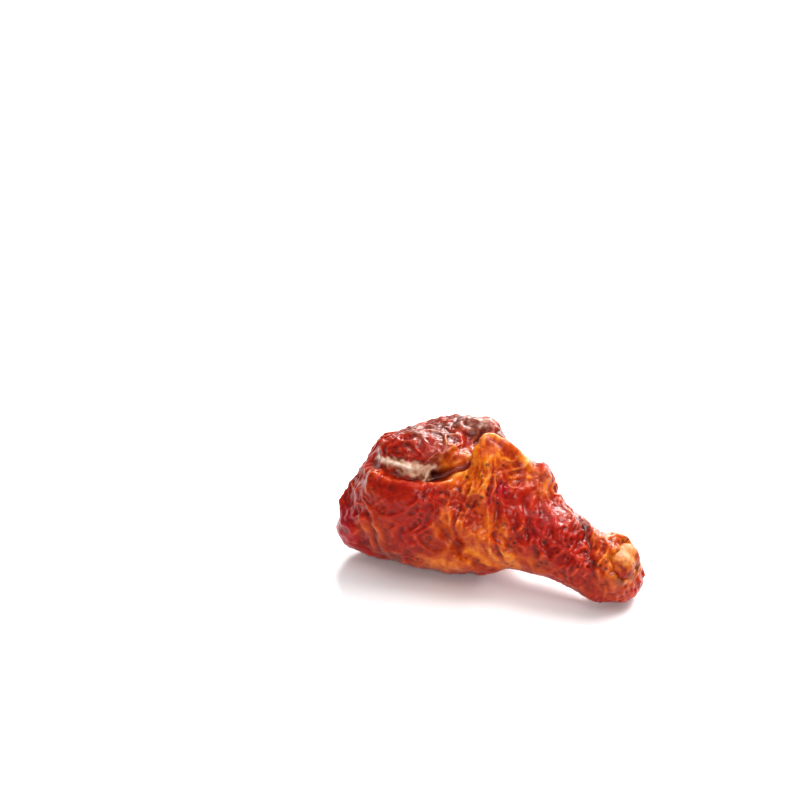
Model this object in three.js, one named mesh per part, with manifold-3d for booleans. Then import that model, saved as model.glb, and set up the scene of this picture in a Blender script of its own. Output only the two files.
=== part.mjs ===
// A glazed chicken wing drumette: the meaty first joint of a wing, lying on its side.
// Millimetres, +Z up. The thick shoulder end is at -X, the knuckle at +X, and the piece rests on Z = 0.
// It is two solids: the meat in its skin, and the arm bone that runs through it and shows at the knuckle.
import * as THREE from 'three';
import { ImprovedNoise } from 'three/addons/math/ImprovedNoise.js';
import { mergeVertices } from 'three/addons/utils/BufferGeometryUtils.js';
import Module from 'manifold-3d';

// Driving dimensions of the whole piece
const LENGTH = 90; // nominal length, which places the parts of the drumette along it
const THICK = 41; // across the meaty end
const NECK = 16.8; // across the thinnest place, before the knuckle
const KNUCKLE = 19.5; // across the knuckle
const BONE_SHAFT = 6; // across the arm bone
const BONE_HEAD = 14; // across the two condyles at the joint end of the bone
const BONE_GAP = 0.3; // between the bone and the meat round it
const SPHERE_DETAIL = 19; // a sphere of 20 * (detail + 1)^2 triangles is draped over the form
const BONE_SIDES = 20;
const WELD = 1e-4; // vertices closer than this are one

const THICK_R = THICK / 2;
const NECK_R = NECK / 2;
const KNUCKLE_R = KNUCKLE / 2;
const SHOULDER_X = -0.2 * LENGTH; // middle of the meaty end
const NECK_X = 0.335 * LENGTH;
const KNUCKLE_X = 0.435 * LENGTH;

const vec = (x = 0, y = 0, z = 0) => new THREE.Vector3(x, y, z);

// Muscle masses that the skin wraps: egg-shaped lobes with a centre and three radii.
const LOBES = {
  shoulder: { at: vec(SHOULDER_X + 0.3, 4.5, THICK_R - 1.6), radii: vec(20.2, THICK_R - 2, THICK_R - 1.7) },
  frontLobe: { at: vec(-24.5, -3, 15), radii: vec(13.5, 12, 14.5) },
  lowerLobe: { at: vec(-33.5, -4.5, 10.5), radii: vec(6.5, 8, 9) },
  topLobe: { at: vec(-8.8, 15.5, 27.5), radii: vec(13, 9.3, 9.8) },
  backLobe: { at: vec(-9, 11, 15.5), radii: vec(18, 11.5, 15.2) },
  belly: { at: vec(-8, -0.5, 12.5), radii: vec(21, 12.8, 13.3) },
  skinTent: { at: vec(0.5, 5, 27.5), radii: vec(7.8, 11, 10.8) },
  crag: { at: vec(14.5, 8, 25.5), radii: vec(4, 4, 3.2) },
  knuckle: { at: vec(KNUCKLE_X, -0.2, KNUCKLE_R + 0.8), radii: vec(6.5, KNUCKLE_R - 0.8, KNUCKLE_R - 0.2) },
  cuffNear: { at: vec(34.5, -3.6, 5.8), radii: vec(4.8, 4.8, 5) },
  cuffLow: { at: vec(42, 1.6, 5.6), radii: vec(4.2, 5.6, 5) },
};
const LOBE_BLEND = 4;

// The tapering shank between the meaty end and the knuckle.
const SHANK = { from: vec(2, 4, 19), fromR: 14, to: vec(NECK_X, -1, 10.8), toR: NECK_R - 0.6 };

// The joint end: the bone ends in a head of two condyles, and the cuff of skin round it is cut off
// slanting, so that the head stands out of it.
const BONE_FROM = vec(-28, 3, 16.5);
const BONE_TO = vec(KNUCKLE_X + 0.9, -0.8, KNUCKLE_R + 3);
const CUFF_DEPTH = 1.6; // from the middle of the head to the cut
const CUFF_FACING = vec(0.8, -0.15, 0.58).normalize();
const CUFF_CUT = BONE_TO.clone().addScaledVector(CUFF_FACING, CUFF_DEPTH);
const CUFF_ROUNDING = 2.2;

// Folds of the skin: curves along which it stands out (positive rise) or sinks in (negative).
const FOLDS = {
  topCrease: {
    rise: -5,
    width: 3,
    through: [vec(-36, 6, 27), vec(-26, -3, 30), vec(-15, -6, 32), vec(-6, -2, 33), vec(-3, 5, 36)],
  },
  topCreaseLip: {
    rise: 1.3,
    width: 2.6,
    through: [vec(-34, -5, 24), vec(-25, -9, 26), vec(-15, -11, 27), vec(-7, -10, 28)],
  },
  tentCrease: {
    rise: -3,
    width: 2.6,
    through: [vec(-10, -4, 33), vec(-5, 3, 35), vec(-4, 9, 37), vec(-3, 17, 37)],
  },
  tentCrest: {
    rise: 2.2,
    width: 3,
    through: [vec(-12, -9, 29), vec(-2, 5, 38), vec(5, 7, 34), vec(14, 9, 28), vec(24, 5, 18)],
  },
  lowerLobeCrease: {
    rise: -2.8,
    width: 2.3,
    through: [vec(-31, -8, 27), vec(-32, -13, 18), vec(-30, -15, 9), vec(-27, -12, 1)],
  },
  frontCrease: {
    rise: -2,
    width: 2.2,
    through: [vec(-14, -15, 26), vec(-3, -16, 17), vec(6, -14, 9), vec(12, -10, 4)],
  },
  frontFold: {
    rise: 1.7,
    width: 2.4,
    through: [vec(-8, -12, 28), vec(3, -13, 20), vec(14, -10, 13), vec(22, -8, 9)],
  },
  shankFold: {
    rise: 1.3,
    width: 2,
    through: [vec(14, -9, 18), vec(23, -7, 15), vec(30, -7, 14), vec(35, -8, 14)],
  },
  neckCrease: {
    rise: -1,
    width: 1.9,
    through: [vec(29, -9, 8), vec(30, -7, 15), vec(31, 0, 20), vec(31, 6, 15)],
  },
  backFold: {
    rise: 2.2,
    width: 3,
    through: [vec(-30, 18, 26), vec(-14, 26, 22), vec(2, 22, 18), vec(16, 13, 15)],
  },
  backCrease: {
    rise: -3,
    width: 2.6,
    through: [vec(-34, 14, 20), vec(-18, 24, 13), vec(0, 19, 9), vec(14, 11, 8)],
  },
  endCrease: {
    rise: -2.6,
    width: 2.5,
    through: [vec(-36, 6, 30), vec(-40, 6, 22), vec(-40, 9, 12), vec(-34, 15, 6)],
  },
};

// Unevenness of the cooked skin: waves of noise with a wavelength and a height.
const RELIEF = [
  { wave: 15, height: 1.1 },
  { wave: 7, height: 1 },
  { wave: 3.6, height: 0.7 },
];

const noise = new ImprovedNoise();

// Distance to an egg-shaped lobe, close to exact near its surface.
function lobeDistance(p, { at, radii }) {
  const q = p.clone().sub(at);
  const near = q.clone().divide(radii).length();
  const slope = q.divide(radii).divide(radii).length();
  return slope === 0 ? -Math.min(radii.x, radii.y, radii.z) : (near * (near - 1)) / slope;
}

// Distance to a ball-ended taper between two points.
function taperDistance(p, { from, fromR, to, toR }) {
  const line = new THREE.Line3(from, to);
  const share = line.closestPointToPointParameter(p, true);
  return p.distanceTo(line.at(share, vec())) - THREE.MathUtils.lerp(fromR, toR, share);
}

// The smaller of two distances, with a rounded valley where they meet.
function blend(a, b, size) {
  const overlap = Math.max(size - Math.abs(a - b), 0) / size;
  return Math.min(a, b) - (overlap * overlap * size) / 4;
}

// The muscle masses alone, before the skin's folds and unevenness.
function muscleForm(p) {
  let d = taperDistance(p, SHANK);
  for (const lobe of Object.values(LOBES)) {
    d = blend(d, lobeDistance(p, lobe), LOBE_BLEND);
  }
  const pastCut = p.clone().sub(CUFF_CUT).dot(CUFF_FACING);
  return -blend(-d, -pastCut, CUFF_ROUNDING);
}

// Slides a point straight out or in until it lies on the muscle masses.
const SLOPE_STEP = 0.05;
const SETTLE_STEPS = 8;
function settle(point) {
  for (let step = 0; step < SETTLE_STEPS; step++) {
    const slope = vec();
    for (const axis of ['x', 'y', 'z']) {
      const ahead = point.clone();
      const behind = point.clone();
      ahead[axis] += SLOPE_STEP;
      behind[axis] -= SLOPE_STEP;
      slope[axis] = (muscleForm(ahead) - muscleForm(behind)) / (2 * SLOPE_STEP);
    }
    point.addScaledVector(slope, -muscleForm(point) / slope.lengthSq());
  }
  return point;
}

const FOLD_STEPS = 24; // stretches along a fold
const foldLines = Object.values(FOLDS).map(({ rise, width, through }) => ({
  rise,
  width,
  points: new THREE.CatmullRomCurve3(through).getPoints(FOLD_STEPS).map(settle),
}));

// How far the folds lift the skin at a point. A fold fades out towards its two ends.
function foldLift(p) {
  let lift = 0;
  for (const { rise, width, points } of foldLines) {
    const away = points.map((point) => point.distanceTo(p));
    const nearest = Math.min(...away);
    const fade = Math.sin((Math.PI * away.indexOf(nearest)) / FOLD_STEPS);
    lift += rise * fade * Math.exp(-((nearest / width) ** 2));
  }
  return lift;
}

function reliefLift(p) {
  const lifts = RELIEF.map(({ wave, height }) => height * noise.noise(p.x / wave, p.y / wave, p.z / wave));
  return lifts.reduce((sum, lift) => sum + lift);
}

// The skin is where this is zero: negative in the meat, positive outside, and cut off flat by the floor.
function skinForm(p) {
  return Math.max(muscleForm(p) - foldLift(p) - reliefLift(p), -p.z);
}

// Rays leave an axis inside the meat, and each vertex of a sphere slides in along its own ray to the skin.
const AXIS = new THREE.Line3(vec(-20, 2, 18), vec(34, -1.5, 10));
const AXIS_CROWDING = 1.25; // sends more vertices to the meaty end
const RAY_LEAN = 0.9; // how far the rays at the two ends lean along the axis
const RAY_START = 45; // outside the skin, from the axis
const RAY_STEPS = 160;
const RAY_EASE = 0.6; // share of the distance that a step covers, so that it stops short of the skin
const CLOSE = 1e-4;
const FLOOR_SNAP = 0.01; // a vertex this close to the floor lies on it

function drapedSphere() {
  const geometry = new THREE.IcosahedronGeometry(1, SPHERE_DETAIL);
  const position = geometry.getAttribute('position');
  for (let i = 0; i < position.count; i++) {
    const on = vec().fromBufferAttribute(position, i);
    const root = AXIS.at(((on.x + 1) / 2) ** AXIS_CROWDING, vec());
    const ray = vec(on.x * Math.abs(on.x) * RAY_LEAN, on.y, on.z).normalize();
    const p = root.clone().addScaledVector(ray, RAY_START);
    for (let step = 0; step < RAY_STEPS; step++) {
      const d = skinForm(p);
      if (Math.abs(d) < CLOSE) {
        break;
      }
      p.addScaledVector(ray, -d * RAY_EASE);
    }
    position.setXYZ(i, p.x, p.y, Math.abs(p.z) < FLOOR_SNAP ? 0 : p.z);
  }
  return geometry;
}

// The arm bone: a lathed shaft that flares into the joint, with two round condyles across its end.
const BONE_STEPS = 16;
const FLARE_FROM = 0.84; // share of the bone's length where it starts to widen
const CONDYLE_SHARE = 0.66; // a condyle's radius as a share of the head's

function boneGeometries(grow) {
  const shaftR = BONE_SHAFT / 2 + grow;
  const condyleR = (BONE_HEAD / 2) * CONDYLE_SHARE + grow;
  const condyleY = (BONE_HEAD / 2) * (1 - CONDYLE_SHARE);
  const length = BONE_FROM.distanceTo(BONE_TO);
  const profile = [new THREE.Vector2(0, -shaftR)];
  for (let i = 0; i <= BONE_STEPS; i++) {
    const share = i / BONE_STEPS;
    const flare = Math.max(0, share - FLARE_FROM) / (1 - FLARE_FROM);
    profile.push(new THREE.Vector2(THREE.MathUtils.lerp(shaftR, condyleR, flare ** 2), share * length));
  }
  profile.push(new THREE.Vector2(0, length));
  const shaft = new THREE.LatheGeometry(profile, BONE_SIDES);
  const condyles = [-1, 1].map((side) => {
    const ball = new THREE.SphereGeometry(condyleR, BONE_SIDES, BONE_SIDES / 2);
    return ball.translate(side * condyleY, length, 0);
  });
  const direction = BONE_TO.clone().sub(BONE_FROM).normalize();
  const turn = new THREE.Quaternion().setFromUnitVectors(vec(0, 1, 0), direction);
  return [shaft, ...condyles].map((geometry) => geometry.applyQuaternion(turn).translate(...BONE_FROM));
}

const wasm = await Module();
wasm.setup();

// A closed geometry as a solid that can be joined and cut.
function solidOf(geometry) {
  geometry.deleteAttribute('normal');
  geometry.deleteAttribute('uv');
  const merged = mergeVertices(geometry, WELD);
  return new wasm.Manifold(
    new wasm.Mesh({
      numProp: 3,
      vertProperties: new Float32Array(merged.getAttribute('position').array),
      triVerts: new Uint32Array(merged.index.array),
    }),
  );
}

function geometryOf(solid) {
  const mesh = solid.getMesh();
  const geometry = new THREE.BufferGeometry();
  geometry.setAttribute('position', new THREE.BufferAttribute(mesh.vertProperties, 3));
  geometry.setIndex(new THREE.BufferAttribute(mesh.triVerts, 1));
  geometry.computeVertexNormals();
  return geometry;
}

const boneSolid = (grow) => boneGeometries(grow).map(solidOf).reduce((a, b) => a.add(b));

const bone = boneSolid(0);
const meat = solidOf(drapedSphere()).subtract(boneSolid(BONE_GAP));

const glazedSkin = new THREE.MeshStandardMaterial({ color: 0xa8361f, roughness: 0.35, metalness: 0 });
const cartilage = new THREE.MeshStandardMaterial({ color: 0xdc9a62, roughness: 0.5, metalness: 0 });

const drumette = new THREE.Group();
const pieces = [
  ['meat_and_skin', meat, glazedSkin],
  ['arm_bone', bone, cartilage],
];
for (const [name, solid, material] of pieces) {
  const mesh = new THREE.Mesh(geometryOf(solid), material);
  mesh.name = name;
  drumette.add(mesh);
}

// The origin is on the floor under the middle of the piece.
const middle = new THREE.Box3().setFromObject(drumette).getCenter(vec());
drumette.position.set(-middle.x, -middle.y, 0);

export default drumette;
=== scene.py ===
# A glazed chicken wing drumette: wrinkled skin under sticky sauce, and the bone's joint end at the knuckle.
# Lengths are in millimetres in the part's frame, and become metres where a mesh, light or camera is made.
import math

import bmesh
import bpy
import numpy as np
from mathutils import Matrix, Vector, noise
from mathutils.bvhtree import BVHTree


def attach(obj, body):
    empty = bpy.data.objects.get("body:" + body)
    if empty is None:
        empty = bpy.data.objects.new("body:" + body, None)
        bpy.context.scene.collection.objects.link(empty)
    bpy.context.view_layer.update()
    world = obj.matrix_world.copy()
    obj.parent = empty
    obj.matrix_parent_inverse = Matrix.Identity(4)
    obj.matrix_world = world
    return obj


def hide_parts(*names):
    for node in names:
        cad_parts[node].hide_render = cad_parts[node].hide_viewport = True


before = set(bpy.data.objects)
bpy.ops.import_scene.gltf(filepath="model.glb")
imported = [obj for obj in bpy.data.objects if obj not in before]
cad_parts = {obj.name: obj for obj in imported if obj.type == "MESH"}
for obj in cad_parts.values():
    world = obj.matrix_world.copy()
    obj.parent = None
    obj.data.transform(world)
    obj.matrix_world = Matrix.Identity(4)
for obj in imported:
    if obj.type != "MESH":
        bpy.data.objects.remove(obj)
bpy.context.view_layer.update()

MM = 0.001
FAR = 99.0  # farther than any field reaches
TINY = 1e-9

# The photograph's camera
PHOTO_SIDE = 800  # pixels
MM_PER_PIXEL = 0.28
ORIGIN_PIXEL = (501, 554)  # where the part's origin shows
AZIMUTH = math.radians(16)
ELEVATION = math.radians(38)
DISTANCE = 600
SENSOR = 36
CLIP_START = 10

# Lights: where each stands, what it is aimed at, its sides and its power in watts
LIGHTS = {
    "back_strip": ((-60, 640, 420), (0, 0, 20), (560, 170), 5.6),
    "rim_light": ((160, 760, 190), (0, 0, 20), (520, 130), 2.6),
    "key_light": ((300, 250, 720), (0, 0, 15), (340, 340), 3.5),
    "top_light": ((0, -100, 900), (0, 0, 0), (700, 700), 2.2),
    "front_light": ((260, -620, 420), (0, 0, 15), (300, 300), 1.6),
}
WORLD_STRENGTH = 0.34
FLOOR_SIDE = 8000

# Meshes
MERGE_REACH = 1e-6  # in metres, as the frame's meshes are
SKIN_VOXEL = 0.37
BONE_VOXEL = 0.35
SKIN_SMOOTHING = 40  # rounds that take away the solid's facets
BONE_SMOOTHING = 25
CHANNEL_REACH = 0.5  # faces of the meat this close to the bone line its channel

# Folds of the skin: a line over it, the height of the fold, its half width and the height of its lips
FOLDS = {
    "top crease": (
        [(-37, -2, 28), (-31, -9, 30), (-23, -12, 31), (-16, -11.5, 31), (-11, -8, 31.5)],
        -1.0, 1.3, 0.3,
    ),
    "dark fold": (
        [(-17, -11, 31), (-13.5, -9, 31.5), (-10.5, -7, 32), (-8, -5, 33), (-6.5, -1.5, 35.5)],
        -1.3, 1.2, 0.2,
    ),
    "front lip": (
        [(-35, -10, 28), (-28, -14, 29.5), (-20, -15, 30), (-13, -12.5, 30), (-8, -9.5, 32)],
        0.7, 1.5, 0,
    ),
    "tent crest": (
        [
            (-13, -10.5, 30.5), (-8.5, -7.5, 33), (-5.5, -3.5, 36.5), (-3.5, 0.5, 39),
            (1, 1.5, 38), (5, 1.8, 35), (13, 1, 29),
        ],
        1.2, 1.4, 0,
    ),
    "tent rib": ([(-2, -3, 38), (-1, -7, 35.5), (-0.5, -11, 31), (-1, -15, 24)], 0.6, 1.1, 0),
    "lower lobe crease": (
        [(-32, -16.5, 21), (-29.5, -19.5, 15), (-28, -19.5, 9), (-27, -16, 3)],
        -0.9, 1.1, 0.4,
    ),
    "left cheek": ([(-36, -9, 25), (-34, -16, 18), (-36, -17, 10)], 0.6, 1.6, 0),
    "front crease": ([(-13, -18.5, 24), (-8, -18.5, 18), (-3, -18, 12), (3, -16, 6)], -0.5, 0.9, 0.35),
    "second crease": ([(2, -10.5, 29), (3.5, -12.5, 24), (4.5, -15.5, 17), (8, -15.5, 10)], -0.5, 0.9, 0.35),
    "third crease": ([(9, -4, 29), (11, -9.5, 25), (13, -13.5, 19), (16, -14.5, 12)], -0.4, 0.9, 0.3),
    "shank fold": ([(13, -3, 27), (19, -9, 22), (24, -12.5, 17), (29, -13.5, 11)], 0.5, 1.2, 0),
    "shank crease": (
        [(16, 2, 25), (22, -2, 21.5), (27, -7, 18.5), (30, -12, 15), (31, -14, 10)],
        -0.5, 0.8, 0.35,
    ),
    "crag ridge": ([(9, 9, 28), (11.5, 4, 30.5), (13.5, 0, 29), (14, -5, 26)], 0.9, 1.3, 0),
    "back fold": ([(-34, 12, 25), (-18, 20, 22), (-2, 17, 18), (13, 8, 15)], 0.9, 1.7, 0),
    "back crease": ([(-32, 9, 18), (-15, 18, 15), (0, 16, 12), (14, 6, 10)], -1.2, 1.1, 0.5),
    "end crease": ([(-42, -4, 22), (-43, 0, 15), (-41, 3, 7)], -0.8, 1.0, 0.4),
}
FOLD_FADE = 0.15  # share of a fold's length over which each end fades out
FOLD_WANDER = 0.7
LIP_OFFSET = 2.4  # in half widths of the fold
LIP_WIDTH = 1.1  # in half widths of the fold
ROUTE_STEPS = 10  # between two points of a line
ROUTE_REACH = 8

# Broad swellings of the skin over the meat: a place, how far it spreads and its height
SWELLS = [
    ((24, -3, 22), 7, 1.3),
    ((31, -3, 18.5), 5, 1.2),
    ((7, 6, 33), 6, 1.5),
    ((-2, -15, 3), 5, -0.6),
    ((11, -13, 5), 5, 0.9),
    ((41, -11, 4), 4, 1.0),
    ((10.5, 7, 31.5), 4, 1.0),
    ((-41, -12, 20), 5, -0.7),
    ((14, 5, 28), 5, 0.6),
    ((-3.5, 0.5, 39), 2.5, 0.8),
    ((-6, 13, 35), 5, 1.6),
    ((-7, -1, 37), 2, -0.8),
    ((-22, -2, 36), 5, 0.5),
    ((-39, -8, 24), 7, -0.8),
    ((-32, 3, 34), 6, -1.8),
]

# Zones of the skin: a centre and how far it spreads each way, or where on an axis it begins and is full
SMOOTH_FRONT = ((-21, -19, 20), (9, 9, 10))
TOP_LOBE = ((-16, 6, 37), (14, 12, 6))
CRAG = ((11.5, 4.5, 31), (3.5, 4.5, 3.5))
THICK_END = (-34, -42)
KNUCKLE = (30, 35)
NEAR_BONE_END = 28  # only points past this are measured from the bone
UNDER_KNUCKLE_ALONG = (26, 32)
UNDER_KNUCKLE_UP = (14, 4)
FACING_DOWN = (-0.9, -0.1)  # upward parts of the normal
FAR_SIDE = (2, 14)
SHANK_FROM = Vector((-31, -2.7, 16.5))
SHANK_TO = Vector((37.1, -6.5, 12.8))
SHANK_BEGINS = (46, 58)  # along the bone

# How much calmer the wrinkles are in some zones
FRONT_CALM = 0.7
SHANK_CALM = 0.4
LOBE_CALM = 0.5
END_CALM = 0.4
ROUGH_EDGE = (-0.25, 0.35)

# Wrinkles that fan out below the tent of skin, and rings around the shank
TENT_PEAK = (-2, 0, 39)
FAN_RISE = 4  # the fan's lines meet this far above the peak
FAN_STEP = 0.1  # radians
FAN_LENGTH = 7
FAN_DEPTH = 12
FAN_BEGINS = (5, 20)
RING_STEP = 1.9
RING_LENGTH = 5

# Wrinkles: the band of noise that a ridge takes up, and its height
WRINKLES = {
    "fan": (0.4, 0.5),
    "rings": (0.4, 0.35),
    "lobe crinkle": (0.3, 0.8),
    "crinkle": (0.33, 0.5),
    "small crinkle": (0.35, 0.22),
}
CALM_FAN = 0.45  # share of its height that a wrinkle keeps on calm skin
CALM_CRINKLE = 0.3
BEND = 1.8  # how far the wrinkles stray

# Other relief of the skin
LUMP_HEIGHT = 0.75
SMALL_LUMP_HEIGHT = 0.4
GRAIN_HEIGHT = 0.1
SKIN_INSET = 0.75  # makes up for the relief, which stands outward
UNDERSIDE_RELIEF = 0.35  # share of the relief that is kept underneath
UNDER_KNUCKLE_DROP = 0.5
SPARSE = 0.1  # chance of a dome where it is rare, beside 1 where it is common
BLISTERS = (90, (0.9, 2.4), (0.2, 0.6))  # count, radii and heights
DOME_POWER = 1.5

# The sauce that pools in hollows
POOL_SMOOTHING = 30
POOL_DEPTH = 0.3
POOL_UNEVENNESS = 0.25
POOL_ROUNDING = 0.12
POOL_SHOWS = (0.0, 0.3)
CREST_SMOOTHING = 25
CREST_GAIN = 1.1

# The collar of skin around the bone end
COLLAR_WIDTH = 1.8
COLLAR_HEIGHT = 0.6
COLLAR_BLOTCH = (0.7, 0.9)
COLLAR_GOLD = 0.65
COLLAR_GOLD_WIDTH = 2.2
COLLAR_CHAR = 0.7
COLLAR_CHAR_WIDTH = 0.8

# Where the sauce shows each colour: a place, how far it spreads each way and its strength
GOLDEN_PATCHES = [
    ((-2, -4, 36.5), (7, 6, 7), 1.5),
    ((-8, -8.5, 32.5), (4, 3.5, 3), 1.0),
    ((-2, -9, 32), (6, 4, 5), 0.9),
    ((6, 2, 33), (6, 5, 5), 1.4),
    ((12, 1, 28), (5, 4, 4), 1.0),
    ((-8, -18, 19), (4, 5, 9), 0.7),
    ((2, -16, 18), (6, 5, 9), 0.7),
    ((-7, -19, 9), (9, 6, 5), 1.1),
    ((7, -16, 10), (9, 6, 5), 1.1),
    ((-31, -12, 28), (5, 5, 4), 0.25),
    ((38.5, -11.5, 15), (3.5, 4, 4), 0.7),
    ((-30, -19, 15), (5, 5, 6), 0.3),
    ((33, -12, 10), (6, 6, 6), 0.25),
    ((36, -3, 17.5), (4.5, 5, 4), 1.1),
    ((-12.5, -3.5, 34.5), (4, 4, 3), 0.3),
    ((-12, 21, 12), (9, 6, 6), 0.9),
    ((8, 13, 20), (6, 6, 6), 0.8),
    ((-36, 9, 18), (6, 6, 8), 0.6),
    ((22, 3, 13), (6, 5, 6), 0.7),
]
BROWN_PATCHES = [
    ((-21, 3, 37), (12, 9, 7), 1.3),
    ((-9, 12, 37), (9, 8, 7), 0.6),
    # Painted shade: a darker brown spread over the dark fold, where the crease lies in shade
    ((-14, -8, 32.5), (4, 3, 3), 1.1),
    ((-24, -19, 8), (7, 6, 5), 0.6),
    ((-24, 20, 22), (8, 6, 8), 0.8),
    ((-43, 2, 12), (5, 7, 7), 0.6),
    ((2, 17, 10), (7, 6, 6), 0.6),
    ((26, -3, 21), (8, 4, 5), 1.1),
]
PLUM_PATCHES = [
    ((-37, -15, 12), (7, 7, 10), 1.4),
    ((2.5, -9.5, 29.5), (3.4, 5, 3.6), 1.6),
    ((17, -12, 20), (7, 6, 7), 0.5),
    ((-16, -19, 17), (6, 5, 7), 0.3),
    (*CRAG, 1.6),
]
# Painted highlight: a pale patch on the top right of the top lobe, drawn in the cream colours where glints
# fall
PAINTED_HIGHLIGHT_PATCHES = [((-8, 10, 37.5), (8, 6, 4), 0.42)]

# Blotches: the share of a colour where its noise is 0, and how far the noise swings it
GOLD_BLOTCH = (0.3, 0.8)
BROWN_BLOTCH = (0.8, 0.9)
PLUM_BLOTCH = (0.7, 0.8)
PAINTED_HIGHLIGHT_BLOTCH = (0.75, 0.5)
FAR_BLOTCH = (0.5, 0.7)
GOLD_EVERYWHERE = 0.04
STREAK_EDGE = (-0.3, 0.25)
FINE_STREAK = 0.6
# Browned skin over the far side, which also serves as painted shade that tones it down under the back lights
FAR_BROWN_AND_SHADE = 0.6
FAR_BROWN_EDGE = (-0.1, 0.4)

# The bare strip in the crease along the top: pale fat, painted partly as a highlight on the upward shelf
# below the top lobe
CREAM_LINE = [
    (-35.5, -4, 29.5), (-31, -7.5, 31.5), (-27, -10, 32.5),
    (-22, -11, 32.5), (-17.5, -10.8, 32.5), (-14.5, -9.5, 32.3),
]
CREAM_NARROW = 1.1
CREAM_GROWTH = 1.7
CREAM_WIDENS = (-36, -24)
CREAM_LEFT_END = (-38, -32)
CREAM_RIGHT_END = (-11, -19)
CREAM_END_STRAYS = 3
CREAM_WANDER = 0.8
CREAM_EDGE = 0.5  # in widths of the strip
FINE_CREAM_EDGE = 0.3  # in widths of the strip
CREAM_FADE = (1.15, 0.1)  # in widths of the strip
CREAM_FLECKED = 0.75
CREAM_FLECK_EDGE = (-0.35, 0.15)
# Painted shade: the strip's colour darkens towards its right end, where the dark fold shades the crease
CREAM_PAINTED_SHADE = 0.45
CREAM_DARKENS = (-23, -15)

# Charred places, and painted shade along the dark fold
SPECKS = (380, (0.25, 0.75), (0.4, 1.0))  # count, radii and strengths
SPECKS_ON_SHANK = (8, 16)  # heights where they begin and are common
SPECKS_ON_TOP = (22, 34)
TOP_SPECKS = 0.6
SPECK_CHAR = 0.75
SPECK_EDGE = (0.05, 0.6)
# Painted shade along the dark fold, laid in with the charred colour
FOLD_PAINTED_SHADE = 0.5
FOLD_SHADE_REACH = (2.4, 0.6)
FOLD_SHADE_END = (0.75, 0.45)  # shares of the fold's length
CRAG_CHAR = 0.7
CHAR_EDGE = (-0.1, 0.3)

# The bone end
BONE_INSET = 0.4
BONE_LUMP_HEIGHT = 0.22
BONE_GRAIN_HEIGHT = 0.07
BONE_PATCH = (38.5, -6, 17.5)
BONE_PATCH_RADII = (4.8, 8.5, 4.2)
BONE_STAIN_EDGE = (0.55, 1.45)  # in radii of the patch
BONE_STAIN_STRAYS = 0.5
BONE_CHAR = 0.8
BONE_CHAR_EDGE = (0.3, 0.5)
BONE_CHAR_FROM = (0.3, 0.9)  # in radii of the patch

# Noise over the skin and the bone: the length of its waves, and its seed
WAVES = {
    "bend": (8, 1),
    "fold wander": (3.5, 31),
    "fan": (1, 3),  # the points of the fan and the rings are already counted in wrinkles
    "rings": (1, 4),
    "lobe crinkle": (5.5, 19),
    "crinkle": (3.1, 5),
    "small crinkle": (1.7, 6),
    "rough": (11, 7),
    "lumps": (8, 8),
    "small lumps": (4, 9),
    "grain": (1.1, 10),
    "pool": (6, 11),
    "collar": (2.4, 12),
    "collar char": (3, 26),
    "crag char": (2, 17),
    "gold streaks": (3.6, 13),
    "plum": (5, 14),
    "brown": (4, 18),
    "far brown": (9, 25),
    "tan": (2.8, 28),
    "cream wander": (4, 15),
    "cream edge": (4.5, 24),
    "fine cream edge": (1.6, 27),
    "cream end": (2.5, 29),
    "cream flecks": (1.9, 16),
    "bone lumps": (4, 20),
    "bone grain": (1.3, 21),
    "bone stain": (2, 22),
    "bone char": (2.2, 23),
}
SEED_STEP = (17.3, 5.9, 11.1)
NOISE_SEED = 8
PICK_SEED = 21

# Colours of the skin as they show on a screen, each with its place from the hollows, 0, to the crests, 1
SAUCE = [(0.1, (76, 9, 4)), (0.42, (148, 16, 5)), (0.7, (178, 32, 9)), (1, (212, 84, 28))]
GOLD = [(0.1, (148, 36, 6)), (0.4, (204, 90, 14)), (0.65, (224, 130, 30)), (1, (242, 180, 84))]
PLUM = [(0.1, (74, 3, 10)), (0.45, (156, 5, 22)), (1, (194, 36, 48))]
BROWN = [(0.1, (42, 9, 5)), (0.45, (98, 24, 12)), (0.75, (132, 56, 32)), (1, (170, 106, 74))]
# Colours of the pale strip, partly pale fat and partly painted highlight, and of the painted highlight patch
# on the top lobe
CREAM = [(0.1, (144, 86, 58)), (0.45, (216, 174, 146)), (0.8, (242, 220, 202))]
# Also the colour of the painted shade along the dark fold
CHARRED_AND_SHADED_SKIN = (52, 15, 7)

# Colours of the bone end, each with its place in the noise that mottles it
PALE_BONE = [(0.3, (172, 90, 36)), (0.5, (194, 120, 56)), (0.72, (210, 148, 84))]
AMBER_BONE = [(0.3, (160, 58, 16)), (0.7, (200, 100, 36))]
STAINED_BONE = [(0.3, (112, 16, 7)), (0.7, (176, 48, 18))]
CHARRED_BONE = (70, 22, 9)
AMBER_STAIN = (0.0, 0.5)
FULL_STAIN = (0.45, 1.0)

# Inside the materials: waves of the patterns, how strongly each counts, depths and roughness
NOISE_MIDDLE = 0.5
MOTTLE_WAVE = 3.6
FINE_MOTTLE_WAVE = 1.2
FINE_MOTTLE = 0.3
MOTTLE_MIDDLE = NOISE_MIDDLE * (1 + FINE_MOTTLE)
MOTTLE_ON_CREST = 0.6
FIBRE_WAVE = 1.5
FIBRES_IN_CREAM = 1.0
FIBRES_AT_EDGE = 0.7
CREAM_SHOWS = (0.1, 0.8)
SKIN_PORE_WAVE = 0.55
SKIN_BUMP_WAVE = 1.4
SKIN_BUMP = 1.4
BONE_MOTTLE_WAVE = 1.1
BONE_BUMP_WAVE = 0.8
BUMP_DEPTH = 0.15
SCATTER_REACH = 1.2
DRY_ROUGHNESS = 0.3
WET_ROUGHNESS = 0.14

rng = np.random.default_rng(PICK_SEED)
noise.seed_set(NOISE_SEED)


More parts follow.
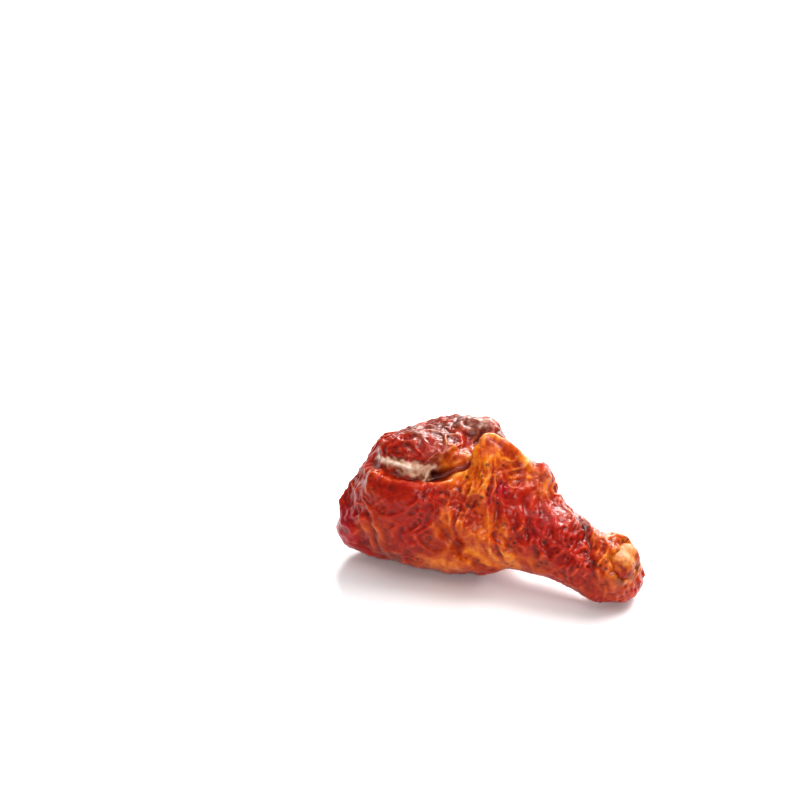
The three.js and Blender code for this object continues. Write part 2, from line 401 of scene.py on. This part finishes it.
def smoothstep(low, high, value):
    share = np.clip((value - low) / (high - low), 0, 1)
    return share * share * (3 - 2 * share)


def rounded_max(a, b, rounding):
    return 0.5 * (a + b + np.sqrt((a - b) ** 2 + rounding**2))


def bell(distance, width):
    return np.exp(-((distance / width) ** 2))


def at_least(low, share):
    """A share from 0 to 1, moved to the range from low to 1."""
    return low + (1 - low) * share


def blotched(share, values, middle, swing):
    return np.clip(share * (middle + swing * values), 0, 1)


# Meshes


def merged_copy(node):
    bm = bmesh.new()
    bm.from_mesh(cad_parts[node].data)
    bmesh.ops.remove_doubles(bm, verts=bm.verts, dist=MERGE_REACH)
    bmesh.ops.scale(bm, vec=Vector((1, 1, 1)) / MM, verts=bm.verts)
    return bm


def surface_of(node):
    bm = merged_copy(node)
    tree = BVHTree.FromBMesh(bm)
    bm.free()
    return tree


def without_channel(bm, bone_tree):
    lining = [
        face
        for face in bm.faces
        if all(bone_tree.find_nearest(v.co)[3] < CHANNEL_REACH for v in face.verts)
    ]
    bmesh.ops.delete(bm, geom=lining, context="FACES")
    rim = [edge for edge in bm.edges if edge.is_boundary]
    bmesh.ops.holes_fill(bm, edges=rim, sides=0)
    bmesh.ops.triangulate(bm, faces=bm.faces)


def remeshed(bm, name, voxel):
    mesh = bpy.data.meshes.new(name)
    bm.to_mesh(mesh)
    bm.free()
    piece = bpy.data.objects.new(name, mesh)
    bpy.context.scene.collection.objects.link(piece)
    remesh = piece.modifiers.new("Even grid", "REMESH")
    remesh.mode = "VOXEL"
    remesh.voxel_size = voxel
    depsgraph = bpy.context.evaluated_depsgraph_get()
    even = bpy.data.meshes.new_from_object(piece.evaluated_get(depsgraph))
    piece.modifiers.clear()
    piece.data = even
    even.name = name
    bpy.data.meshes.remove(mesh)
    return piece


def read_places(mesh):
    values = np.zeros(len(mesh.vertices) * 3, np.float32)
    mesh.vertices.foreach_get("co", values)
    return values.reshape(-1, 3).astype(float)


def read_normals(mesh):
    values = np.zeros(len(mesh.vertices) * 3, np.float32)
    mesh.vertex_normals.foreach_get("vector", values)
    return values.reshape(-1, 3).astype(float)


def write_places(mesh, places):
    mesh.vertices.foreach_set("co", places.astype(np.float32).ravel())
    mesh.update()


def edge_ends(mesh):
    ends = np.zeros(len(mesh.edges) * 2, np.int32)
    mesh.edges.foreach_get("vertices", ends)
    return ends.reshape(-1, 2)


def relaxed(values, ends, rounds):
    """Each value moves halfway to the mean of its neighbours, again and again."""
    flat = values.ndim == 1
    values = values[:, None] if flat else values
    first, second = ends[:, 0], ends[:, 1]
    count = len(values)
    degree = np.bincount(ends.ravel(), minlength=count)[:, None]
    for _ in range(rounds):
        total = np.stack(
            [
                np.bincount(first, column[second], count) + np.bincount(second, column[first], count)
                for column in values.T
            ],
            axis=1,
        )
        values = 0.5 * values + 0.5 * total / degree
    return values[:, 0] if flat else values


def dressed(piece, places, shares, material):
    """The piece with its points in place, its shares as attributes and its material."""
    mesh = piece.data
    write_places(mesh, places * MM)
    for name, share in shares.items():
        attribute = mesh.attributes.new(name, "FLOAT", "POINT")
        attribute.data.foreach_set("value", share.astype(np.float32))
    mesh.shade_smooth()
    mesh.materials.clear()
    mesh.materials.append(material)
    return piece


# Noise over the points of a mesh


def as_points(rows):
    return [Vector(row) for row in rows]


def seeded(seed):
    return Vector([seed * step for step in SEED_STEP])


def perlin(points, name):
    wave, seed = WAVES[name]
    shift = seeded(seed)
    return np.array([noise.noise(p / wave + shift) for p in points])


def warped(places, reach, name):
    wave, seed = WAVES[name]
    shift = seeded(seed)
    return places + reach * np.array([noise.noise_vector(p / wave + shift) for p in as_points(places)])


def wrinkle(values, name):
    """Rounded ridges along the lines where the noise crosses zero."""
    band, height = WRINKLES[name]
    return height * (1 - smoothstep(0, band, np.abs(values)))


def domes(places, weight, count, radii, heights):
    """Round bumps at random places, which weight makes more or less likely."""
    relief = np.zeros(len(places))
    picks = rng.choice(len(places), count, p=weight / weight.sum())
    for pick in picks:
        radius = rng.uniform(*radii)
        height = rng.uniform(*heights)
        square = ((places - places[pick]) ** 2).sum(axis=1) / radius**2
        inside = square < 1
        relief[inside] = np.maximum(relief[inside], height * (1 - square[inside]) ** DOME_POWER)
    return relief


# Spots and lines on the skin


def spot(places, centre, radii):
    return np.exp(-(((places - centre) / np.array(radii)) ** 2).sum(axis=1))


def patches(places, spots):
    share = np.zeros(len(places))
    for centre, radii, strength in spots:
        share += strength * spot(places, centre, radii)
    return share


def settled(line, tree):
    """A smooth route through the points of a line, laid on the skin."""
    knots = as_points(line)
    knots = [2 * knots[0] - knots[1], *knots, 2 * knots[-1] - knots[-2]]
    route = []
    for a, b, c, d in zip(knots, knots[1:], knots[2:], knots[3:]):
        for t in np.arange(ROUTE_STEPS) / ROUTE_STEPS:
            bend = (2 * a - 5 * b + 4 * c - d) * t**2 + (3 * b - a - 3 * c + d) * t**3
            route.append(tree.find_nearest(b + 0.5 * ((c - a) * t + bend))[0])
    route.append(tree.find_nearest(knots[-2])[0])
    return np.array(route)


def near_route(places, route):
    """Distance of each point from a route, and how far along it the nearest place is, 0 to 1."""
    distance = np.full(len(places), FAR)
    along = np.zeros(len(places))
    low = route.min(axis=0) - ROUTE_REACH
    high = route.max(axis=0) + ROUTE_REACH
    close = np.flatnonzero(((places > low) & (places < high)).all(axis=1))
    spots = places[close]
    last = len(route) - 1
    for i in range(last):
        step = route[i + 1] - route[i]
        share = np.clip((spots - route[i]) @ step / max(step @ step, TINY), 0, 1)
        gap = np.linalg.norm(spots - route[i] - share[:, None] * step, axis=1)
        nearer = gap < distance[close]
        distance[close[nearer]] = gap[nearer]
        along[close[nearer]] = (i + share[nearer]) / last
    return distance, along


# Materials


class Nodes:
    """Short calls for building one material's nodes."""

    def __init__(self, name):
        self.material = bpy.data.materials.new(name)
        self.material.use_nodes = True
        self.tree = self.material.node_tree
        self.shader = self.tree.nodes["Principled BSDF"]

    def add(self, kind, inputs=None, **settings):
        node = self.tree.nodes.new(kind)
        for key, value in settings.items():
            setattr(node, key, value)
        for key, value in (inputs or {}).items():
            self.put(node.inputs[key], value)
        return node

    def put(self, socket, value):
        if isinstance(value, bpy.types.NodeSocket):
            self.tree.links.new(value, socket)
        else:
            socket.default_value = value

    def set(self, **values):
        for name, value in values.items():
            self.put(self.shader.inputs[name.replace("_", " ")], value)

    def attribute(self, name):
        return self.add("ShaderNodeAttribute", attribute_name=name).outputs["Fac"]

    def noise(self, wave, detail=3, roughness=0.55):
        inputs = {
            "Vector": self.add("ShaderNodeTexCoord").outputs["Object"],
            "Scale": 1 / (wave * MM),
            "Detail": detail,
            "Roughness": roughness,
        }
        return self.add("ShaderNodeTexNoise", inputs).outputs["Fac"]

    def ramp(self, value, low, high, to_low=0.0, to_high=1.0):
        inputs = {"Value": value, "From Min": low, "From Max": high, "To Min": to_low, "To Max": to_high}
        return self.add("ShaderNodeMapRange", inputs, interpolation_type="SMOOTHSTEP").outputs["Result"]

    def math(self, operation, a, b):
        return self.add("ShaderNodeMath", {0: a, 1: b}, operation=operation).outputs[0]

    def plus(self, value, other, times):
        return self.math("ADD", value, self.math("MULTIPLY", other, times))

    def mix(self, share, a, b):
        node = self.add("ShaderNodeMix", data_type="RGBA")
        for name, value in (("Factor_Float", share), ("A_Color", a), ("B_Color", b)):
            socket = next(s for s in node.inputs if s.identifier == name)
            self.put(socket, value)
        return next(s for s in node.outputs if s.identifier == "Result_Color")

    def palette(self, value, stops):
        node = self.add("ShaderNodeValToRGB", {"Fac": value})
        elements = node.color_ramp.elements
        while len(elements) < len(stops):
            elements.new(0.5)
        for element, (position, colour) in zip(elements, stops):
            element.position = position
            element.color = rgb(colour)
        return node.outputs["Color"]

    def bump(self, height, strength):
        inputs = {"Height": height, "Strength": strength, "Distance": BUMP_DEPTH * MM}
        return self.add("ShaderNodeBump", inputs).outputs["Normal"]


def rgb(colour):
    """A colour given as it shows on a screen, 0 to 255, made linear."""
    shares = (c / 255 for c in colour)
    return tuple(((c + 0.055) / 1.055) ** 2.4 if c > 0.04 else c / 12.92 for c in shares) + (1,)


def glazed_skin():
    n = Nodes("glazed_skin")
    mottle = n.plus(n.noise(MOTTLE_WAVE, detail=4, roughness=0.62), n.noise(FINE_MOTTLE_WAVE), FINE_MOTTLE)
    crest = n.plus(n.attribute("crest"), n.math("SUBTRACT", mottle, MOTTLE_MIDDLE), MOTTLE_ON_CREST)
    colour = n.palette(crest, SAUCE)
    for name, stops in (("brown", BROWN), ("golden", GOLD), ("plum", PLUM)):
        colour = n.mix(n.attribute(name), colour, n.palette(crest, stops))
    fibres = n.math("SUBTRACT", n.noise(FIBRE_WAVE, roughness=0.5), NOISE_MIDDLE)
    # The pale strip, partly painted highlight, and the painted highlight patch on the top lobe
    cream = n.palette(n.plus(crest, fibres, FIBRES_IN_CREAM), CREAM)
    ragged = n.plus(n.attribute("cream"), fibres, FIBRES_AT_EDGE)
    colour = n.mix(n.ramp(ragged, *CREAM_SHOWS), colour, cream)
    # char holds charred spots and the painted shade along the dark fold
    colour = n.mix(n.attribute("char"), colour, rgb(CHARRED_AND_SHADED_SKIN))
    pores = n.plus(n.noise(SKIN_PORE_WAVE), n.noise(SKIN_BUMP_WAVE), SKIN_BUMP)
    n.set(
        Base_Color=colour,
        Roughness=n.ramp(n.attribute("sauce"), 0.0, 1.0, DRY_ROUGHNESS, WET_ROUGHNESS),
        Specular_IOR_Level=0.25,
        Specular_Tint=(1, 0.78, 0.72, 1),
        Coat_Weight=0.25,
        Coat_Roughness=0.07,
        Coat_Tint=(1, 0.96, 0.94, 1),
        Subsurface_Weight=0.12,
        Subsurface_Radius=(1.0, 0.22, 0.1),
        Subsurface_Scale=SCATTER_REACH * MM,
        Normal=n.bump(pores, strength=0.5),
    )
    return n.material


def cartilage():
    n = Nodes("cartilage")
    mottle = n.noise(BONE_MOTTLE_WAVE, detail=4)
    stain = n.attribute("stain")
    colour = n.palette(mottle, PALE_BONE)
    for stops, shows in ((AMBER_BONE, AMBER_STAIN), (STAINED_BONE, FULL_STAIN)):
        colour = n.mix(n.ramp(stain, *shows), colour, n.palette(mottle, stops))
    colour = n.mix(n.attribute("char"), colour, rgb(CHARRED_BONE))
    n.set(
        Base_Color=colour,
        Roughness=0.46,
        Coat_Weight=0.05,
        Coat_Roughness=0.2,
        Specular_IOR_Level=0.25,
        Subsurface_Weight=0.2,
        Subsurface_Radius=(1.0, 0.5, 0.25),
        Subsurface_Scale=SCATTER_REACH * MM,
        Normal=n.bump(n.noise(BONE_BUMP_WAVE), strength=0.35),
    )
    return n.material


def white_floor():
    n = Nodes("white_floor")
    n.set(Base_Color=(0.92, 0.92, 0.92, 1), Roughness=0.3, Specular_IOR_Level=0.35)
    return n.material


# The skin's relief


class Skin:
    """The smooth skin that the relief goes on, with the zones and noises that several steps share."""

    def __init__(self, mesh, bone_tree):
        self.ends = edge_ends(mesh)
        self.places = relaxed(read_places(mesh), self.ends, SKIN_SMOOTHING)
        write_places(mesh, self.places)
        self.normals = read_normals(mesh)
        self.points = as_points(self.places)
        self.x, self.y, self.z = self.places.T
        faces = [tuple(face.vertices) for face in mesh.polygons]
        self.tree = BVHTree.FromPolygons(self.places.tolist(), faces)

        self.bent = warped(self.places, BEND, "bend")
        self.bent_points = as_points(self.bent)
        axis = (SHANK_TO - SHANK_FROM).normalized()
        self.along_shank = (self.bent - np.array(SHANK_FROM)) @ np.array(axis)
        self.shank = smoothstep(*SHANK_BEGINS, self.along_shank)
        self.top_lobe = spot(self.places, *TOP_LOBE)
        self.crag = spot(self.places, *CRAG)
        self.rough = self.roughness()
        self.fan_noise, self.fan_reach = self.fan()
        self.from_bone = self.gaps(bone_tree)

    def noise(self, name):
        return perlin(self.points, name)

    def crinkle(self, name):
        return wrinkle(perlin(self.bent_points, name), name)

    def roughness(self):
        """How wrinkled each point is, 0 to 1."""
        share = smoothstep(*ROUGH_EDGE, self.noise("rough"))
        front = spot(self.places, *SMOOTH_FRONT)
        end = smoothstep(*THICK_END, self.x)
        calmer = ((FRONT_CALM, front), (SHANK_CALM, self.shank), (LOBE_CALM, self.top_lobe), (END_CALM, end))
        for calm, zone in calmer:
            share = share * (1 - calm * zone)
        return share

    def fan(self):
        """Noise in lines that fan out below the tent of skin, and how far each point is from its peak."""
        x, y, z = self.bent.T
        angle = np.arctan2(x - TENT_PEAK[0], TENT_PEAK[2] + FAN_RISE - z)
        reach = np.hypot(x - TENT_PEAK[0], TENT_PEAK[2] - z)
        stretched = np.stack((angle / FAN_STEP, reach / FAN_LENGTH, y / FAN_DEPTH), axis=1)
        return perlin(as_points(stretched), "fan"), reach

    def gaps(self, bone_tree):
        """Distance of each point from the bone, near its end."""
        distance = np.full(len(self.places), FAR)
        for i in np.flatnonzero(self.x > NEAR_BONE_END):
            distance[i] = bone_tree.find_nearest(self.points[i])[3]
        return distance


def fan_wrinkles(skin):
    fan = wrinkle(skin.fan_noise, "fan") * (1 - skin.shank) * smoothstep(*FAN_BEGINS, skin.fan_reach)
    return fan * at_least(CALM_FAN, skin.rough)


def ring_wrinkles(skin):
    _, y, z = skin.bent.T
    stretched = np.stack((skin.along_shank / RING_STEP, y / RING_LENGTH, z / RING_LENGTH), axis=1)
    return wrinkle(perlin(as_points(stretched), "rings"), "rings") * skin.shank


def fold_relief(skin):
    wandering = warped(skin.places, FOLD_WANDER, "fold wander")
    relief = np.zeros(len(skin.places))
    for line, height, width, lip in FOLDS.values():
        distance, along = near_route(wandering, settled(line, skin.tree))
        fade = smoothstep(0, FOLD_FADE, along) * smoothstep(1, 1 - FOLD_FADE, along)
        lips = lip * bell(distance - LIP_OFFSET * width, LIP_WIDTH * width)
        relief += fade * (height * bell(distance, width) + lips)
    return relief


def bare_relief(skin):
    """Height of the skin over its smooth form, before the sauce."""
    relief = LUMP_HEIGHT * skin.noise("lumps") + SMALL_LUMP_HEIGHT * skin.noise("small lumps")
    relief += fold_relief(skin)
    relief += fan_wrinkles(skin) + ring_wrinkles(skin)
    relief += skin.crinkle("lobe crinkle") * skin.top_lobe
    crinkles = skin.crinkle("crinkle") + skin.crinkle("small crinkle")
    relief += crinkles * at_least(CALM_CRINKLE, skin.rough)
    blister_weight = SPARSE + skin.rough * (1 - smoothstep(*KNUCKLE, skin.x))
    relief += domes(skin.places, blister_weight, *BLISTERS)
    relief += GRAIN_HEIGHT * skin.noise("grain") - SKIN_INSET
    relief *= at_least(UNDERSIDE_RELIEF, smoothstep(*FACING_DOWN, skin.normals[:, 2]))
    for centre, spread, height in SWELLS:
        relief += height * bell(np.linalg.norm(skin.places - centre, axis=1), spread)
    under_knuckle = smoothstep(*UNDER_KNUCKLE_UP, skin.z) * smoothstep(*UNDER_KNUCKLE_ALONG, skin.x)
    relief -= UNDER_KNUCKLE_DROP * under_knuckle
    return relief


def pooled(skin, bare):
    """The relief with sauce in its hollows, and the share of sauce at each point."""
    level = relaxed(bare, skin.ends, POOL_SMOOTHING) - POOL_DEPTH + POOL_UNEVENNESS * skin.noise("pool")
    relief = rounded_max(bare, level, POOL_ROUNDING)
    return relief, smoothstep(*POOL_SHOWS, relief - bare)


def collar_relief(skin):
    middle, swing = COLLAR_BLOTCH
    collar = bell(skin.from_bone, COLLAR_WIDTH) * (middle + swing * skin.noise("collar"))
    return COLLAR_HEIGHT * np.maximum(collar, 0)


# The skin's colours, one share a point


def crest_share(skin, relief):
    """0 in the hollows of the relief, 1 on its crests."""
    height = relief - relaxed(relief, skin.ends, CREST_SMOOTHING)
    return np.clip(0.5 + CREST_GAIN * height, 0, 1)


def golden_share(skin):
    streak = smoothstep(*STREAK_EDGE, skin.fan_noise + FINE_STREAK * skin.noise("gold streaks"))
    golden = blotched(GOLD_EVERYWHERE + patches(skin.places, GOLDEN_PATCHES), streak, *GOLD_BLOTCH)
    collar = COLLAR_GOLD * bell(skin.from_bone, COLLAR_GOLD_WIDTH)
    return np.maximum(golden * (1 - skin.crag), collar)


def brown_share(skin):
    middle, swing = FAR_BLOTCH
    # The far side is browned, partly as painted shade against the back lights
    far_side = smoothstep(*FAR_SIDE, skin.y)
    far_side *= middle + swing * smoothstep(*FAR_BROWN_EDGE, skin.noise("far brown"))
    brown = patches(skin.places, BROWN_PATCHES) + FAR_BROWN_AND_SHADE * far_side
    return blotched(brown, skin.noise("brown"), *BROWN_BLOTCH)


def plum_share(skin):
    return blotched(patches(skin.places, PLUM_PATCHES), skin.noise("plum"), *PLUM_BLOTCH)


def painted_highlight_share(skin):
    # Painted highlight on the top lobe, blotched by the tan noise
    return blotched(patches(skin.places, PAINTED_HIGHLIGHT_PATCHES), skin.noise("tan"), *PAINTED_HIGHLIGHT_BLOTCH)


def cream_share(skin):
    wandering = warped(skin.places, CREAM_WANDER, "cream wander")
    gap, _ = near_route(wandering, settled(CREAM_LINE, skin.tree))
    width = CREAM_NARROW + CREAM_GROWTH * smoothstep(*CREAM_WIDENS, skin.x)
    edge = CREAM_EDGE * skin.noise("cream edge") + FINE_CREAM_EDGE * skin.noise("fine cream edge")
    cream = smoothstep(*CREAM_FADE, gap / width + edge)
    cream *= smoothstep(*CREAM_LEFT_END, skin.x)
    cream *= smoothstep(*CREAM_RIGHT_END, skin.x + CREAM_END_STRAYS * skin.noise("cream end"))
    cream *= at_least(CREAM_FLECKED, smoothstep(*CREAM_FLECK_EDGE, skin.noise("cream flecks")))
    return cream


def char_and_fold_shade_share(skin, cream):
    """Dark specks, painted shade along the dark fold, the edge of the skin at the bone end, and the crag."""
    on_shank = skin.shank * smoothstep(*SPECKS_ON_SHANK, skin.z)
    on_top = TOP_SPECKS * smoothstep(*SPECKS_ON_TOP, skin.z) * skin.rough
    specks = domes(skin.places, SPARSE + on_shank + on_top, *SPECKS)
    # Painted shade along the dark fold, in the charred colour
    fold_gap, fold_along = near_route(skin.places, settled(FOLDS["dark fold"][0], skin.tree))
    fold = smoothstep(*FOLD_SHADE_REACH, fold_gap) * smoothstep(*FOLD_SHADE_END, fold_along)
    collar = bell(skin.from_bone, COLLAR_CHAR_WIDTH) * smoothstep(*CHAR_EDGE, skin.noise("collar char"))
    crag = skin.crag * smoothstep(*CHAR_EDGE, skin.noise("crag char"))
    char = np.maximum(SPECK_CHAR * smoothstep(*SPECK_EDGE, specks), FOLD_PAINTED_SHADE * fold)
    char = np.maximum(char, COLLAR_CHAR * collar) * (1 - cream)
    return np.maximum(char, CRAG_CHAR * crag)


# The two pieces


def make_meat(bone_tree):
    bm = merged_copy("meat_and_skin")
    without_channel(bm, bone_tree)
    piece = remeshed(bm, "glazed_meat", SKIN_VOXEL)
    skin = Skin(piece.data, bone_tree)

    relief, sauce = pooled(skin, bare_relief(skin))
    relief += collar_relief(skin)
    places = skin.places + skin.normals * relief[:, None]
    places[:, 2] = np.maximum(places[:, 2], 0)

    strip = cream_share(skin)
    # Painted shade over the right end of the strip, taken off its crest share
    shade = CREAM_PAINTED_SHADE * strip * smoothstep(*CREAM_DARKENS, skin.x)
    # The cream share carries the pale strip and the painted highlight patch on the top lobe
    cream = np.maximum(strip, painted_highlight_share(skin))
    shares = {
        "sauce": sauce,
        "crest": crest_share(skin, relief) - shade,
        "golden": golden_share(skin),
        "brown": brown_share(skin),
        "plum": plum_share(skin),
        "cream": cream,
        "char": char_and_fold_shade_share(skin, cream),
    }
    return dressed(piece, places, shares, glazed_skin())


def make_bone():
    piece = remeshed(merged_copy("arm_bone"), "bone_end", BONE_VOXEL)
    mesh = piece.data
    smooth = relaxed(read_places(mesh), edge_ends(mesh), BONE_SMOOTHING)
    write_places(mesh, smooth)
    points = as_points(smooth)
    lumps = BONE_LUMP_HEIGHT * perlin(points, "bone lumps")
    grain = BONE_GRAIN_HEIGHT * perlin(points, "bone grain")
    places = smooth + read_normals(mesh) * (lumps + grain - BONE_INSET)[:, None]

    from_patch = np.linalg.norm((places - BONE_PATCH) / np.array(BONE_PATCH_RADII), axis=1)
    strayed = from_patch + BONE_STAIN_STRAYS * perlin(points, "bone stain")
    burnt = smoothstep(*BONE_CHAR_EDGE, perlin(points, "bone char")) * smoothstep(*BONE_CHAR_FROM, from_patch)
    shares = {"stain": smoothstep(*BONE_STAIN_EDGE, strayed), "char": BONE_CHAR * burnt}
    return dressed(piece, places, shares, cartilage())


# Studio


def aim(thing, place, target):
    thing.location = Vector(place) * MM
    direction = (Vector(target) - Vector(place)).normalized()
    thing.rotation_euler = direction.to_track_quat("-Z", "Y").to_euler()


def softbox(name, place, target, sides, power):
    light = bpy.data.lights.new(name, "AREA")
    light.shape = "RECTANGLE"
    light.size, light.size_y = (side * MM for side in sides)
    light.energy = power
    lamp = bpy.data.objects.new(name, light)
    bpy.context.scene.collection.objects.link(lamp)
    aim(lamp, place, target)


def make_studio():
    bpy.ops.mesh.primitive_plane_add(size=FLOOR_SIDE * MM)
    floor = bpy.context.object
    floor.name = "floor"
    floor.data.materials.append(white_floor())
    for name, light in LIGHTS.items():
        softbox(name, *light)
    world = bpy.data.worlds.new("studio")
    bpy.context.scene.world = world
    world.use_nodes = True
    background = world.node_tree.nodes["Background"]
    background.inputs["Color"].default_value = (1, 1, 1, 1)
    background.inputs["Strength"].default_value = WORLD_STRENGTH
    bpy.context.scene.view_settings.view_transform = "Standard"
    bpy.context.scene.view_settings.look = "Medium High Contrast"


def make_camera():
    back = Vector(
        (
            math.sin(AZIMUTH) * math.cos(ELEVATION),
            -math.cos(AZIMUTH) * math.cos(ELEVATION),
            math.sin(ELEVATION),
        )
    )
    right = Vector((math.cos(AZIMUTH), math.sin(AZIMUTH), 0))
    up = back.cross(right)
    middle = PHOTO_SIDE / 2
    target = (right * (middle - ORIGIN_PIXEL[0]) + up * (ORIGIN_PIXEL[1] - middle)) * MM_PER_PIXEL
    lens = bpy.data.cameras.new("camera")
    lens.sensor_width = SENSOR
    lens.lens = SENSOR * DISTANCE / (PHOTO_SIDE * MM_PER_PIXEL)
    lens.clip_start = CLIP_START * MM
    camera = bpy.data.objects.new("camera", lens)
    bpy.context.scene.collection.objects.link(camera)
    aim(camera, back * DISTANCE, target)
    bpy.context.scene.camera = camera


make_camera()
make_studio()

meat = make_meat(surface_of("arm_bone"))
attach(meat, "root")
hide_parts("meat_and_skin")

bone = make_bone()
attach(bone, "root")
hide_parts("arm_bone")
